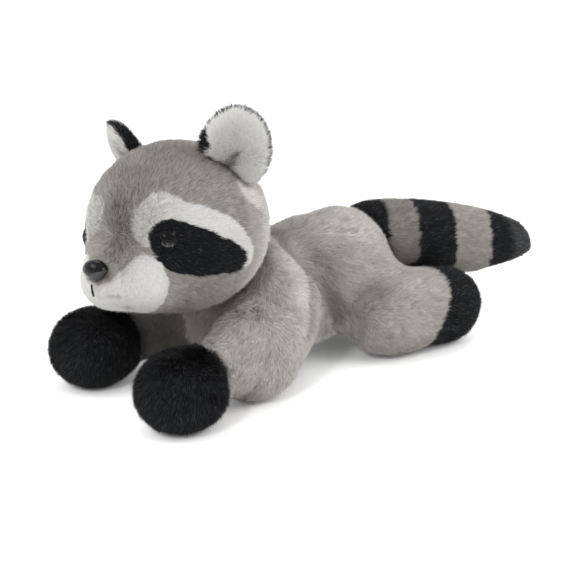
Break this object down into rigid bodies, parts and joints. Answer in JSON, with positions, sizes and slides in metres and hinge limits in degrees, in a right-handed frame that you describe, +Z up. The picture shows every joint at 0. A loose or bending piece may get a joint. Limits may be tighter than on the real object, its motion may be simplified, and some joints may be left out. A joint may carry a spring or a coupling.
{
  "type": "plush raccoon",
  "caption": "Soft stuffed raccoon that lies on its belly with raised head, masked face, upright ears and a banded tail",
  "frame": {"origin": "middle of the underside of the whole toy's box, on the surface that it lies on", "axes": "+Z up; the toy looks towards -Y, its tail points to +Y and its left side is at +X"},
  "size_m": [0.1468, 0.3732, 0.1825],
  "materials": {
    "grey_plush": "short soft pile in warm grey",
    "pale_plush": "short soft pile in off-white",
    "black_plush": "short soft pile in black",
    "eye_plastic": "polished black plastic",
    "nose_plastic": "satin black plastic",
    "washer_plastic": "plain white moulding",
    "thread": "black embroidery thread"
  },
  "bodies": {
    "root": {"torso": "grey_plush", "belly_panel": "pale_plush", "head": "grey_plush", "brow_panel_left": "pale_plush", "brow_panel_right": "pale_plush", "mask_panel_left": "black_plush", "mask_panel_right": "black_plush", "muzzle_panel_left": "pale_plush", "muzzle_panel_right": "pale_plush", "eye_left": "eye_plastic", "eye_right": "eye_plastic", "eye_washer_left": "washer_plastic", "eye_washer_right": "washer_plastic", "nose": "nose_plastic", "nose_washer": "washer_plastic", "mouth_thread": "thread", "ear_back_left": "black_plush", "ear_back_right": "black_plush", "ear_lining_left": "pale_plush", "ear_lining_right": "pale_plush", "arm_left": "grey_plush", "arm_right": "grey_plush", "front_paw_left": "black_plush", "front_paw_right": "black_plush", "hind_leg_left": "grey_plush", "hind_leg_right": "grey_plush", "hind_foot_left": "black_plush", "hind_foot_right": "black_plush", "tail_band_1": "black_plush", "tail_band_2": "grey_plush", "tail_band_3": "black_plush", "tail_band_4": "grey_plush", "tail_band_5": "black_plush"}
  },
  "joints": []
}
